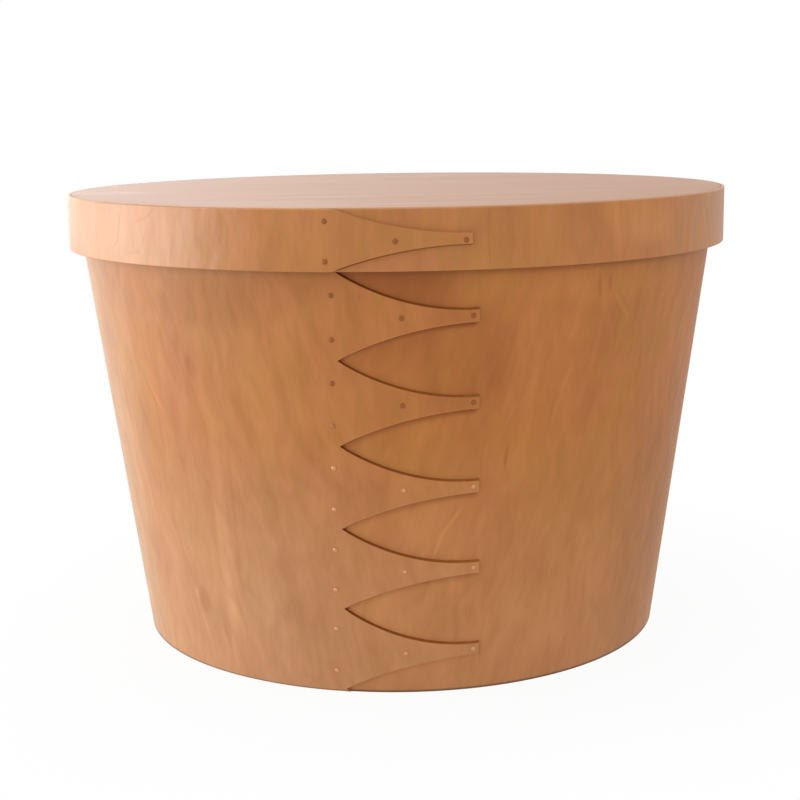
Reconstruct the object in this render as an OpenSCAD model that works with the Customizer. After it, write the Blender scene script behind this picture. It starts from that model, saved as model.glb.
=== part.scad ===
// Round bentwood storage box with a lift-off lid.
// Wall and lid rim are strips bent round and lapped at the front, where the outer end is cut into fingers.
// Frame: origin at the middle of the foot, +Z up, the lap faces -Y. Millimetres.

/* [Box] */
// Outer diameter of the lid rim
lid_d = 400; // [250:1:500]
// Overall height with the lid on
total_h = 270; // [170:1:360]
// Outer diameter of the wall at the foot
base_d = 320.8; // [200:0.2:380]
// Thickness of the wall strip
wall_t = 2; // [1.4:0.1:3]
// Thickness of the base board
base_t = 7; // [4:0.5:12]
// Softening of the foot edge and the rim edge
edge_c = 0.4; // [0.2:0.1:0.6]

/* [Lid] */
// Height of the lid rim
lid_h = 32; // [24:1:60]
// Thickness of the lid rim strip
lid_t = 2; // [1.4:0.1:3]
// Thickness of the lid board
lid_board_t = 5; // [3:0.5:10]
// Radial play between the lap at the rim of the box and the lid
lid_play = 0.7; // [0.4:0.1:3]
// Softening of the lid's top edge
lid_edge_c = 0.8; // [0.3:0.1:1.2]

/* [Lap] */
// Fingers of the wall that show below the lid
finger_count = 5; // [3:1:7]
// Where the gaps between the fingers come to a point, left of the front line
root_x = 31.8; // [24:0.2:36]
// Where the fingers end, right of the front line
tip_x = 41.6; // [30:0.2:50]
// Width of a finger at its tip
tip_w = 7.2; // [5:0.1:10]
// Height over the foot at which the rows of fingers start, along the wall
root_low = 4; // [3:0.2:10]
// How much lower the point of the lowest gap lies
low_root_drop = 2; // [0:0.1:2.5]
// Distance of the highest gap point below the lid's lower edge
root_drop = 0.8; // [0:0.1:4]
// How far the finger tips hang below the middle between their gaps
tip_drop = 0.7; // [0:0.1:2]
// How much further the tip of the lowest finger hangs
low_tip_drop = 1.8; // [0:0.1:3]
// Where the lid's finger starts, left of the front line
lid_root_x = 33.2; // [24:0.2:36]
// Where the lid's finger ends, right of the front line
lid_tip_x = 37.6; // [30:0.2:50]
// Width of the lid's finger at its tip
lid_tip_w = 6; // [4:0.1:10]
// Angle from the front line to where the strip starts to run on top of its other end
lap_az = 15; // [14:0.5:20]
// Angle of the full-thickness part of the strip's inner end behind the lap
tail_az = 5; // [3:0.5:8]
// Left-over thickness that the feathered inner end starts to lose at once
feather_step = 0.05; // [0.02:0.01:0.1]
// Glue line round the boards
glue_gap = 0.2; // [0.1:0.01:0.3]

/* [Tacks] */
// Diameter of a tack head
head_d = 2.8; // [2.4:0.1:4]
// Height of a tack head
head_h = 0.6; // [0.4:0.05:0.7]
// Straight edge of a tack head below its dome
head_rim = 0.2; // [0.1:0.05:0.3]
// Diameter of a tack's shank
shank_d = 1.4; // [1:0.1:1.8]
// Diameter of the clinched end
clinch_d = 2.2; // [2:0.1:3]
// How far the clinched end stands out of the wood
clinch_h = 0.2; // [0.1:0.05:0.25]
// How deep the clinched end is sunk in the wood
clinch_sink = 0.35; // [0.2:0.05:0.6]
// Play of a tack in its hole
tack_fit = 0.04; // [0.02:0.01:0.1]
// Root tacks, left of the front line at the foot of the wall
root_tack_x = 36.4; // [30:0.2:40]
// How far the row of root tacks leans towards the front line on its way up to the lid
root_tack_lean = 2.3; // [0:0.1:3]
// How far the root tacks hang below the quarters between the gaps
root_tack_drop = 0.8; // [0:0.1:2]
// Middle tacks, right of the front line on the wall
mid_tack_x = 1.3; // [-6:0.1:10]
// Tip tacks, distance from the end of the finger
tip_tack_in = 3.7; // [2.5:0.1:8]
// Root tacks of the lid, left of the front line
lid_root_tack_x = 36.3; // [27:0.2:40]
// Root tacks of the lid, distance up and down from the lid's row of tacks
lid_root_tack_z = 10.1; // [6:0.1:11]
// Row of tacks of the lid, distance below the middle of the lid rim
lid_tack_drop = 0.6; // [0:0.1:2]
// Middle tack of the lid, left of the front line
lid_mid_tack_x = 1.3; // [-6:0.1:10]

/* [Hidden] */
$fn = 180;
eps = 0.01;
lid_r = lid_d / 2;
lid_z = total_h - lid_h;
rim_z = total_h - lid_board_t;
base_r = base_d / 2;
rim_r = lid_r - lid_t - wall_t - lid_play;
slope = (rim_r - base_r) / rim_z;
taper = atan(slope);
// rows of fingers, measured along the sloping wall
root_top = (lid_z - root_drop) / cos(taper);
pitch = (root_top - root_low) / finger_count;
lap_end_az = 20;
// angle by which the parts of a board run into each other
core_overlap_az = 1;
// depth of the cutters that shape the fingers
reach = tip_x / 2 + wall_t;

function wall_r(z) = base_r + slope * z;
function row_w(n) = root_low + pitch * n;
function root_w(n) = row_w(n) - (n == 0 ? low_root_drop : 0);
function tip_cw(n) = row_w(n) + pitch / 2 - tip_drop - (n == 0 ? low_tip_drop : 0);
function arc_r(run, rise) = (run * run + rise * rise) / (2 * rise);
// height of the wall surface behind a point of the flat finger pattern
function wall_z(x, w) = w * cos(taper) + x * x * cos(taper) * sin(taper) / (2 * (base_r + w * sin(taper)));

// Cross-section of one layer of a strip, ri and ro measured from the strip's outer surface.
module layer_section(r0, k, z0, z1, ri, ro, c0, c1) {
  polygon([
    [r0 + k * z0 + ri, z0],
    [r0 + k * z0 + ro - c0, z0],
    [r0 + k * (z0 + c0) + ro, z0 + c0],
    [r0 + k * (z1 - c1) + ro, z1 - c1],
    [r0 + k * z1 + ro - c1, z1],
    [r0 + k * z1 + ri, z1]
  ]);
}

// Strips are wound with the start of the lap at the front, then turned so that the fingers face -Y.
module turn_lap() {
  rotate([0, 0, -lap_az]) children();
}

// Arc of a layer, from angle a0 on, counted from the front towards +X.
module layer(a0, a, r0, k, z0, z1, ri, ro, c0, c1) {
  rotate([0, 0, a0 - 90])
    rotate_extrude(angle = a)
      layer_section(r0, k, z0, z1, ri, ro, c0, c1);
}

// Plane that the inner end of a strip is feathered along.
module feather_plane(r, k, z1) {
  rotate([0, 0, -tail_az])
    translate([0, -r, 0])
      rotate([atan(k), 0, 0])
        translate([-120, 0, -z1])
          cube([120, 120, 3 * z1]);
}

// Inner end of a strip behind the lap, planed away to a feather edge.
module tail(r0, k, z0, z1, t) {
  difference() {
    mirror([1, 0, 0]) layer(0, 18, r0, k, z0, z1, -t, t / 2, 0, 0);
    feather_plane(r0 - t + feather_step, k, z1);
  }
}

// A strip bent round: two half turns whose centres lie half a thickness apart, so it winds on to its own end.
module bent_strip(r0, k, z0, z1, t, c0, c1) {
  layer(0, 180, r0, k, z0, z1, -t, 0, c0, c1);
  translate([0, -t / 2, 0]) layer(180, 180, r0 + t / 2, k, z0, z1, -t, 0, c0, c1);
  tail(r0, k, z0, z1, t);
}

// Full round inside a bent strip, for the boards, smaller than the strip by the glue line.
module part_core(a0, a, r, k, z0, z1) {
  rotate([0, 0, a0 - 90])
    rotate_extrude(angle = a)
      polygon([[0, z0], [r + k * z0, z0], [r + k * z1, z1], [0, z1]]);
}

module strip_core(r0, k, z0, z1, t, grow) {
  part_core(0, 180, r0 - t - grow, k, z0, z1);
  mirror([1, 0, 0]) part_core(0, tail_az + core_overlap_az, r0 - t - grow, k, z0, z1);
  difference() {
    translate([0, -t / 2, 0]) part_core(180, 180, r0 - t / 2 - grow, k, z0, z1);
    difference() {
      mirror([1, 0, 0]) layer(-2, 20, r0, k, z0 - 1, z1 + 1, -t - grow - 1, t / 2, 0, 0);
      feather_plane(r0 - t - grow + feather_step, k, z1 + 1);
    }
  }
}

// Places flat finger outlines against the front of the wall: x across, y up along the wall.
module on_front(r, lean) {
  rotate([0, 0, lap_az])
    translate([0, -r, 0])
      rotate([90 + lean, 0, 0])
        children();
}

// One gap between fingers: two arcs that start together at a point and run out level at the tips.
module gap(n) {
  run = root_x + tip_x;
  rise = tip_cw(n) - tip_w / 2 - root_w(n);
  drop = n > 0 ? root_w(n) - tip_cw(n - 1) - tip_w / 2 : pitch / 2 - tip_w / 2;
  on_front(base_r, taper)
    intersection() {
      translate([tip_x, root_w(n) + rise - arc_r(run, rise), -reach])
        cylinder(r = arc_r(run, rise), h = 2 * reach);
      translate([tip_x, root_w(n) - drop + arc_r(run, drop), -reach])
        cylinder(r = arc_r(run, drop), h = 2 * reach);
    }
}

// Outer end of the wall strip, cut into fingers.
module body_fingers() {
  difference() {
    layer(0, lap_az + lap_end_az, base_r, slope, 0, rim_z, -wall_t / 2, wall_t, edge_c, edge_c);
    for (n = [0 : finger_count]) gap(n);
    on_front(base_r, taper)
      translate([tip_x, -total_h, -reach])
        cube([100, 3 * total_h, 2 * reach]);
  }
}

// Outer end of the lid strip, one finger between two arcs.
module lid_finger() {
  run = lid_root_x + lid_tip_x;
  rise = (lid_h - lid_tip_w) / 2;
  ar = arc_r(run, rise);
  difference() {
    layer(0, lap_az + lap_end_az, lid_r, 0, lid_z, total_h, -lid_t / 2, lid_t, edge_c, lid_edge_c);
    on_front(lid_r, 0) {
      translate([lid_tip_x, lid_z + rise - ar, -reach]) cylinder(r = ar, h = 2 * reach);
      translate([lid_tip_x, total_h - rise + ar, -reach]) cylinder(r = ar, h = 2 * reach);
      translate([lid_tip_x, 0, -reach]) cube([100, 2 * total_h, 2 * reach]);
    }
  }
}

// Puts children on the outer face of the lap, +Z square out of the wall.
module on_wall(x, w) {
  z = wall_z(x, w);
  rotate([0, 0, asin(x / wall_r(z))])
    translate([0, -wall_r(z) - wall_t, z])
      rotate([90 + taper, 0, 0])
        children();
}

module on_lid(x, z) {
  rotate([0, 0, asin(x / lid_r)])
    translate([0, -lid_r - lid_t, z])
      rotate([90, 0, 0])
        children();
}

// Tack: domed head, shank through both layers, clinched end sunk in the inner face.
module tack(grip) {
  dome_r = (head_d * head_d / 4 + pow(head_h - head_rim, 2)) / (2 * (head_h - head_rim));
  intersection() {
    translate([0, 0, head_h - dome_r]) sphere(r = dome_r, $fn = 48);
    translate([0, 0, tack_fit + head_rim - eps]) cylinder(d = head_d + 1, h = head_h, $fn = 48);
  }
  translate([0, 0, tack_fit]) cylinder(d = head_d, h = head_rim, $fn = 48);
  translate([0, 0, -grip]) cylinder(d = shank_d, h = grip + head_rim, $fn = 32);
  translate([0, 0, -grip - clinch_h]) cylinder(d = clinch_d, h = clinch_h + clinch_sink - tack_fit, $fn = 32);
}

module tack_hole(grip) {
  translate([0, 0, -grip - 1]) cylinder(d = shank_d + 2 * tack_fit, h = grip + 2, $fn = 32);
  translate([0, 0, -grip - 1]) cylinder(d = clinch_d + 2 * tack_fit, h = 1 + clinch_sink, $fn = 32);
}

body_grip = 2 * wall_t * cos(taper);
lid_grip = 2 * lid_t;
lid_tack_row = lid_z + lid_h / 2 - lid_tack_drop;
// middle of the half finger under the lid, at the front line and at its tip
top_mid_w = (rim_z / cos(taper) + root_w(finger_count) + 0.68 * (pitch - tip_w) / 2) / 2;
top_tip_w = (rim_z / cos(taper) + tip_cw(finger_count) - tip_w / 2) / 2;

// A root tack at a quarter between two gaps, in a row that leans a little.
module at_root(w) {
  on_wall(root_tack_lean * w / root_top - root_tack_x, w - root_tack_drop) children();
}

module each_body_root() {
  for (n = [0 : finger_count]) {
    at_root(root_w(n) + pitch / 4) children();
    if (n > 0) at_root(root_w(n) - pitch / 4) children();
  }
}

module each_body_mid() {
  for (n = [0 : finger_count - 1]) on_wall(mid_tack_x, tip_cw(n)) children();
  on_wall(mid_tack_x, top_mid_w) children();
}

module each_body_tip() {
  for (n = [0 : finger_count - 1]) on_wall(tip_x - tip_tack_in, tip_cw(n)) children();
  on_wall(tip_x - tip_tack_in, top_tip_w) children();
}

module each_lid_root() {
  for (s = [-1, 1]) on_lid(-lid_root_tack_x, lid_tack_row + s * lid_root_tack_z) children();
}

module each_lid_mid() {
  on_lid(-lid_mid_tack_x, lid_tack_row) children();
}

module each_lid_tip() {
  on_lid(lid_tip_x - tip_tack_in, lid_tack_row) children();
}

module body_band() {
  color([0.76, 0.52, 0.32])
    difference() {
      turn_lap() {
        bent_strip(base_r, slope, 0, rim_z, wall_t, edge_c, edge_c);
        body_fingers();
      }
      each_body_root() tack_hole(body_grip);
      each_body_mid() tack_hole(body_grip);
      each_body_tip() tack_hole(body_grip);
    }
}

module base_board() {
  color([0.82, 0.64, 0.46]) turn_lap() strip_core(base_r, slope, 0, base_t, wall_t, glue_gap);
}

module body_root_tacks() {
  color([0.72, 0.45, 0.32]) each_body_root() tack(body_grip);
}

module body_mid_tacks() {
  color([0.72, 0.45, 0.32]) each_body_mid() tack(body_grip);
}

module body_tip_tacks() {
  color([0.72, 0.45, 0.32]) each_body_tip() tack(body_grip);
}

module lid_band() {
  color([0.80, 0.56, 0.36])
    difference() {
      turn_lap() {
        bent_strip(lid_r, 0, lid_z, total_h, lid_t, edge_c, lid_edge_c);
        lid_finger();
      }
      each_lid_root() tack_hole(lid_grip);
      each_lid_mid() tack_hole(lid_grip);
      each_lid_tip() tack_hole(lid_grip);
    }
}

module lid_board() {
  color([0.87, 0.73, 0.60]) turn_lap() strip_core(lid_r, 0, rim_z, total_h, lid_t, glue_gap);
}

module lid_root_tacks() {
  color([0.72, 0.45, 0.32]) each_lid_root() tack(lid_grip);
}

module lid_mid_tack() {
  color([0.72, 0.45, 0.32]) each_lid_mid() tack(lid_grip);
}

module lid_tip_tack() {
  color([0.72, 0.45, 0.32]) each_lid_tip() tack(lid_grip);
}

body_band();
base_board();
body_root_tacks();
body_mid_tacks();
body_tip_tacks();
lid_band();
lid_board();
lid_root_tacks();
lid_mid_tack();
lid_tip_tack();
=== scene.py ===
import math

import bmesh
import bpy
from mathutils import Matrix, Vector


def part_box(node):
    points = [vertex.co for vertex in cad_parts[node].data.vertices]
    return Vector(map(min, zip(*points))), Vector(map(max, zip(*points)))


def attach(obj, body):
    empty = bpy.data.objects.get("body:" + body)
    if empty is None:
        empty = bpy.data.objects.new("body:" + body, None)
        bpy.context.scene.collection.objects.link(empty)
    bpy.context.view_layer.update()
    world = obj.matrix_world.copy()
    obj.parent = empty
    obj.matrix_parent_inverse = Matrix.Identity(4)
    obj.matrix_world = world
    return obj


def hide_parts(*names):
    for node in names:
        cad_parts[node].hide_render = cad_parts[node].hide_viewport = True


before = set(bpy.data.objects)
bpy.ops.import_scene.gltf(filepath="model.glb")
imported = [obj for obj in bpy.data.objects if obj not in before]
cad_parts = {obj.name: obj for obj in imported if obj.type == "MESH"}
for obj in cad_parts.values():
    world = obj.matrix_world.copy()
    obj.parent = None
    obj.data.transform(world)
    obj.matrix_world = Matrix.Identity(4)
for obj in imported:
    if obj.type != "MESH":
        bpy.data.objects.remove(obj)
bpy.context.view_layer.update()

# Round bentwood box: the wall and the lid rim are thin strips bent round and lapped at the front,
# where the outer end is cut into fingers and tacked down. The lap faces -Y, metres, +Z up.
MM = 0.001
DEGREE = math.radians(1)
TURN = 2 * math.pi

# Strips, with the sizes of the solids that they stand for
WALL_T = 2 * MM
LID_T = 2 * MM
LID_PLAY = 0.7 * MM
FOOT_R = 160.4 * MM
LID_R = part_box("lid_band")[1].y
LID_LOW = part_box("lid_band")[0].z
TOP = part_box("lid_band")[1].z
RIM_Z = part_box("body_band")[1].z
RIM_R = LID_R - LID_T - WALL_T - LID_PLAY
SLOPE = (RIM_R - FOOT_R) / RIM_Z
LEAN = math.atan(SLOPE)

# Lap: where the strip starts to run on its own start, and the planed inner end behind it
LAP_AZ = 15 * DEGREE
TAIL_AZ = 5 * DEGREE
FEATHER_STEP = 0.05 * MM
FEATHER_EDGE = 0.12 * MM
TAIL_CLEAR = 0.05 * MM
# The outer end clears the layer under it by a hair, and rises to that from here on
FINGER_LIFT = 0.03 * MM
LIFT_START = 348 * DEGREE
# The wall's foot edge leaves the floor a little on its way to the lap
FOOT_LIFT = 0.65 * MM
FOOT_LIFT_START = 300 * DEGREE
# Turn at which the grain stands upright, and its lean elsewhere, 1 for a straight flat sheet
UPRIGHT = 220 * DEGREE
GRAIN_LEAN = 0.5

# Fingers of the wall, measured in the plane that touches the foot at the front
FINGERS = 5
ROOT_X = 31.8 * MM
TIP_X = 41.6 * MM
TIP_W = 7.2 * MM
ROOT_LOW = 4 * MM
LOW_ROOT_DROP = 2 * MM
TOP_ROOT_DROP = 0.8 * MM
ROOT_TOP = (LID_LOW - TOP_ROOT_DROP) / math.cos(LEAN)
PITCH = (ROOT_TOP - ROOT_LOW) / FINGERS
TIP_DROP = 0.7 * MM
LOW_TIP_DROP = 1.8 * MM
# Share of an arc's climb that it has at the middle tack
ARC_AT_MIDDLE = 0.68

# The lid's one finger
LID_ROOT_X = 33.2 * MM
LID_TIP_X = 37.6 * MM
LID_TIP_W = 6 * MM
LID_RISE = (TOP - LID_LOW - LID_TIP_W) / 2

# Tacks: a domed head, a shank and a clinched end sunk in the inner face
HEAD_R = 1.4 * MM
HEAD_H = 0.6 * MM
HEAD_RIM = 0.2 * MM
HEAD_UNDER_R = 0.97 * HEAD_R
HEAD_CLEAR = 0.02 * MM
SHANK_R = 0.7 * MM
CLINCH_R = 1.1 * MM
CLINCH_END_R = 0.7 * CLINCH_R
CLINCH_H = 0.2 * MM
CLINCH_SINK = 0.31 * MM
DOME_STEPS = 5
TACK_SIDES = 24
# Places of the tacks in the flat pattern
ROOT_TACK_X = 36.4 * MM
ROOT_TACK_LEAN = 2.3 * MM
ROOT_TACK_DROP = 0.8 * MM
MID_TACK_X = 1.3 * MM
TIP_TACK_IN = 3.7 * MM
LID_ROOT_TACK_X = 36.3 * MM
LID_ROOT_TACK_Z = 10.1 * MM
LID_TACK_DROP = 0.6 * MM
LID_TACK_ROW = (LID_LOW + TOP) / 2 - LID_TACK_DROP
LID_MID_TACK_X = -1.3 * MM

# Steps of two searches
FIT_STEPS = 4
HALVINGS = 40

# Faces of a strip along its planed end, round the box, up to the roots and along a finger
COLUMNS_TAIL = 10
COLUMNS_ROUND = 230
COLUMNS_BLEND = 12
COLUMNS_FINGER = 60
ROUND_END = 345 * DEGREE
# Faces across a finger, the half finger, the sliver at the foot and the lid's finger
ROWS_FINGER = 10
ROWS_HALF = 6
ROWS_SLIVER = 2
ROWS_LID = 12
# The cuts lean out under the face, fully so from this share of a finger's length on
SLANT = 0.6 * MM
SLANT_START = 0.06
# Scorching of the cuts: deep, slight, and rising by finger from the foot. It fades towards the tips
TOAST_DEEP = 0.9
TOAST_SLIGHT = 0.1
TOAST_LOWER = 0.45
TOAST_CLIMB = 0.05
TOAST_FADE = 0.55
# Share of a tongue's height that counts as its edge
ON_EDGE = 0.01
# Softened edges, the angle from which an edge is sharp, and how close vertices are merged
EDGE_SOFT = 0.3 * MM
TOP_SOFT = 0.8 * MM
EDGE_STEPS = 3
SHARP = 40 * DEGREE
MERGE = 0.002 * MM
# Order of a strip's materials
OUTER_FACE, INNER_FACE, CUT_EDGE = range(3)


def smooth_step(value, low, high):
    share = min(1.0, max(0.0, (value - low) / (high - low)))
    return share * share * (3 - 2 * share)


def mix(a, b, share):
    return a + (b - a) * share


class Strip:
    """A thin strip bent round until its fingers lie on its own start, from where its turn is counted."""

    def __init__(self, foot_r, slope, low, high, thick, root_x, foot_lift):
        self.foot_r, self.slope = foot_r, slope
        self.low, self.high = low, high
        self.thick, self.root_x = thick, root_x
        self.foot_lift = foot_lift
        self.lean = math.atan(slope)

    def radius(self, z):
        return self.foot_r + self.slope * z

    def point(self, turn, z, depth):
        """Place at a depth under the outer face. The half turn on to the start has its own centre."""
        r = self.radius(z) - depth
        shift = 0.0
        if math.pi < turn < TURN:
            shift = self.thick / 2
            r += shift
        elif turn >= TURN:
            r += self.thick
        r += FINGER_LIFT * smooth_step(turn, LIFT_START, TURN)
        az = turn - LAP_AZ
        x = r * math.sin(az) - shift * math.sin(LAP_AZ)
        y = -r * math.cos(az) - shift * math.cos(LAP_AZ)
        return Vector((x, y, z))

    def front_point(self, x, w, depth):
        """Place on the lap, from the flat pattern of the fingers: x across, w up along the wall."""
        z = w * math.cos(self.lean)
        for step in range(FIT_STEPS):
            r = self.radius(z) + self.thick + FINGER_LIFT - depth
            y = math.sqrt(r * r - x * x)
            miss = (y - self.foot_r) * math.sin(self.lean) + z * math.cos(self.lean) - w
            z -= miss / (math.cos(self.lean) + self.slope * math.sin(self.lean) * r / y)
        return Vector((x, -y, z))

    def pattern_height(self, x, z):
        """The flat pattern's height over a place on the lap."""
        r = self.radius(z) + self.thick + FINGER_LIFT
        y = math.sqrt(r * r - x * x)
        return (y - self.foot_r) * math.sin(self.lean) + z * math.cos(self.lean)

    def tail_end(self, z):
        """Turn, counted backwards, at which the planed inner end runs out."""
        r = self.radius(z)
        return TAIL_AZ + math.acos((r - self.thick + FEATHER_STEP) / (r - FEATHER_EDGE - TAIL_CLEAR))

    def tail_depth(self, turn, z):
        """Depth of the inner face of the planed end."""
        r = self.radius(z)
        past = max(0.0, -turn - TAIL_AZ)
        inner = r - self.thick
        if past > 0:
            inner = (inner + FEATHER_STEP) / math.cos(past)
        return max(r - inner, TAIL_CLEAR + FEATHER_EDGE / 2)

    def flat(self, turn, z):
        """Place in the strip before it was bent: across the grain, along the grain."""
        away = turn - UPRIGHT
        if self.slope == 0:
            return self.foot_r * away, z
        reach = self.radius(z) / math.sin(self.lean)
        swing = away * math.sin(self.lean)
        across = mix(self.radius(self.high / 2) * away, reach * math.sin(swing), GRAIN_LEAN)
        along = reach * mix(1, math.cos(swing), GRAIN_LEAN) - self.foot_r / math.sin(self.lean)
        return across, along


def arc(x, root_x, tip_x, start, climb):
    """Height of an arc that starts at a finger's root and runs level at its tip."""
    run = root_x + tip_x
    r = (run * run + climb * climb) / (2 * abs(climb))
    sag = r - math.sqrt(r * r - (x - tip_x) ** 2)
    return start + climb - math.copysign(sag, climb)


# Flat pattern of finger n: its lower root, its tip, and the edges of the gap below it
def root_w(n):
    return ROOT_LOW + PITCH * n - (LOW_ROOT_DROP if n == 0 else 0)


def tip_w(n):
    return ROOT_LOW + PITCH * (n + 0.5) - TIP_DROP - (LOW_TIP_DROP if n == 0 else 0)


def gap_top(x, n):
    return arc(x, ROOT_X, TIP_X, root_w(n), tip_w(n) - TIP_W / 2 - root_w(n))


def gap_bottom(x, n):
    drop = root_w(n) - tip_w(n - 1) - TIP_W / 2 if n > 0 else (PITCH - TIP_W) / 2
    return arc(x, ROOT_X, TIP_X, root_w(n), -drop)


class Tongue:
    """Part of the strip's outer end: rows of faces, end, and its two edges as heights over x.

    An edge's toast is how dark its cut is scorched, and its slant how far it leans out under the face.
    """

    def __init__(self, rows, end_x, lower, upper, toast=(0, 0), slant=(0, 0)):
        self.rows, self.end_x = rows, end_x
        self.lower, self.upper = lower, upper
        self.toast, self.slant = toast, slant

    def height(self, x, along, across, side):
        """Height on the outer face (side 1) or the inner face (side -1)."""
        ease = side * smooth_step(along, 0, SLANT_START) / 2
        low = self.lower(x) + ease * self.slant[0]
        high = self.upper(x) - ease * self.slant[1]
        return mix(low, high, across)


def strip_data(bm, *keys):
    """Data that the vertices of a strip carry."""
    return [bm.verts.layers.float[key] for key in keys]


def root_heights(strip, tongues):
    """Heights of the rows of faces at the roots, from the lower edge up."""
    heights = []
    for tongue in tongues:
        low, high = tongue.lower(-strip.root_x), tongue.upper(-strip.root_x)
        heights += [mix(low, high, k / tongue.rows) for k in range(tongue.rows)]
    return heights + [high]


def wrap_round(bm, strip, heights):
    """Outer face from the planed end round to the roots."""
    turn_of, height_of, lap_of = strip_data(bm, "turn", "height", "on_lap")
    columns = COLUMNS_TAIL + COLUMNS_ROUND + COLUMNS_BLEND
    rows = len(heights) - 1
    grid = bmesh.ops.create_grid(bm, x_segments=columns, y_segments=rows, size=0.5)
    for v in grid["verts"]:
        column = round((v.co.x + 0.5) * columns)
        row = round((v.co.y + 0.5) * rows)
        root = strip.front_point(-strip.root_x, heights[row], 0)
        z = min(max(root.z, strip.low), strip.high)
        root_turn = TURN + LAP_AZ + math.atan2(root.x, -root.y)
        if column <= COLUMNS_TAIL:
            turn = -strip.tail_end(z) * (1 - column / COLUMNS_TAIL)
        elif column <= COLUMNS_TAIL + COLUMNS_ROUND:
            turn = ROUND_END * (column - COLUMNS_TAIL) / COLUMNS_ROUND
        else:
            turn = mix(ROUND_END, root_turn, (column - COLUMNS_TAIL - COLUMNS_ROUND) / COLUMNS_BLEND)
        if row == 0:
            z = strip.low + strip.foot_lift * smooth_step(turn, FOOT_LIFT_START, ROUND_END)
        v[turn_of] = turn
        v[height_of] = z
        if column == columns:
            v[lap_of] = 1
            v[height_of] = heights[row]
            v.co = root
        else:
            v.co = strip.point(turn, z, TAIL_CLEAR if turn < 0 else 0)


def lay_tongue(bm, strip, tongue):
    """Outer face of a tongue. Each vertex keeps the height of its cut on the inner face."""
    turn_of, height_of, lap_of, toast_of = strip_data(bm, "turn", "height", "on_lap", "toast")
    grid = bmesh.ops.create_grid(bm, x_segments=COLUMNS_FINGER, y_segments=tongue.rows, size=0.5)
    for v in grid["verts"]:
        along, across = v.co.x + 0.5, v.co.y + 0.5
        x = mix(-strip.root_x, tongue.end_x, along)
        v.co = strip.front_point(x, tongue.height(x, along, across, 1), 0)
        v[lap_of] = 1
        v[height_of] = tongue.height(x, along, across, -1)
        v[turn_of] = TURN + LAP_AZ + math.atan2(v.co.x, -v.co.y)
        edge = 0 if across < ON_EDGE else 1 if across > 1 - ON_EDGE else None
        v[toast_of] = 0 if edge is None else tongue.toast[edge] * (1 - TOAST_FADE * along)


def thicken(bm, strip):
    """Inner face, cut edges and materials. Gives back the vertices of the outer face."""
    turn_of, height_of, lap_of = strip_data(bm, "turn", "height", "on_lap")
    outer = set(bm.verts)
    bmesh.ops.extrude_face_region(bm, geom=bm.faces[:], use_keep_orig=True)
    for v in bm.verts:
        if v in outer:
            continue
        if v[lap_of] > 0.5:
            v.co = strip.front_point(v.co.x, v[height_of], strip.thick)
            v.co.z = min(max(v.co.z, strip.low), strip.high)
        elif v[turn_of] < 0:
            v.co = strip.point(v[turn_of], v[height_of], strip.tail_depth(v[turn_of], v[height_of]))
        else:
            v.co = strip.point(v[turn_of], v[height_of], strip.thick)
    for f in bm.faces:
        on_outer = sum(v in outer for v in f.verts)
        on_top = min(v.co.z for v in f.verts) > strip.high - FINGER_LIFT
        if on_top or on_outer == len(f.verts):
            f.material_index = OUTER_FACE
        else:
            f.material_index = INNER_FACE if on_outer == 0 else CUT_EDGE
    bmesh.ops.recalc_face_normals(bm, faces=bm.faces[:])
    return outer


def soften(bm, strip, outer, top_soft):
    """Rounds the edges, but not the feather edge, the sliver at the foot and the cuts' inner edges."""
    turn_of, height_of, lap_of = strip_data(bm, "turn", "height", "on_lap")
    top = []
    sharp = []
    for e in bm.edges:
        if e.calc_face_angle(0) < SHARP or min(v[turn_of] for v in e.verts) < 0:
            continue
        on_face = all(v in outer for v in e.verts)
        in_sliver = all(v[lap_of] > 0.5 and v[height_of] < ROOT_LOW for v in e.verts)
        under_lap = not on_face and all(v[lap_of] > 0.5 for v in e.verts)
        if on_face and all(v.co.z > strip.high - FINGER_LIFT for v in e.verts):
            top.append(e)
        elif not in_sliver and not under_lap:
            sharp.append(e)
    for edges, size in ((sharp, EDGE_SOFT), (top, top_soft)):
        bmesh.ops.bevel(
            bm, geom=[e for e in edges if e.is_valid], offset=size, affect="EDGES", segments=EDGE_STEPS,
            profile=0.5, material=-1, clamp_overlap=True,
        )


def map_strip(bm, strip):
    """UV maps in metres: grain is the strip before it was bent, lap the flat pattern of the fingers."""
    turn_of = strip_data(bm, "turn")[0]
    grain = bm.loops.layers.uv.new("grain")
    lap = bm.loops.layers.uv.new("lap")
    for f in bm.faces:
        for loop in f.loops:
            co = loop.vert.co
            turn = LAP_AZ + math.atan2(co.x, -co.y)
            turn += TURN * round((loop.vert[turn_of] - turn) / TURN)
            loop[grain].uv = strip.flat(turn, co.z)
            loop[lap].uv = co.x, strip.pattern_height(co.x, co.z)


def finished_mesh(name, bm):
    """Mesh with smooth faces and sharp edges."""
    for f in bm.faces:
        f.smooth = True
    mesh = bpy.data.meshes.new(name)
    bm.to_mesh(mesh)
    bm.free()
    mesh.set_sharp_from_angle(angle=SHARP)
    return mesh


def strip_mesh(name, strip, tongues, top_soft):
    """Mesh of a bent strip that ends in tongues. top_soft is the rounding of its upper outer edge."""
    bm = bmesh.new()
    for key in ("turn", "height", "on_lap", "toast"):
        bm.verts.layers.float.new(key)
    wrap_round(bm, strip, root_heights(strip, tongues))
    for tongue in tongues:
        lay_tongue(bm, strip, tongue)
    bmesh.ops.remove_doubles(bm, verts=bm.verts[:], dist=MERGE)
    bmesh.ops.recalc_face_normals(bm, faces=bm.faces[:])
    outer = thicken(bm, strip)
    soften(bm, strip, outer, top_soft)
    map_strip(bm, strip)
    return finished_mesh(name, bm)


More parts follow.
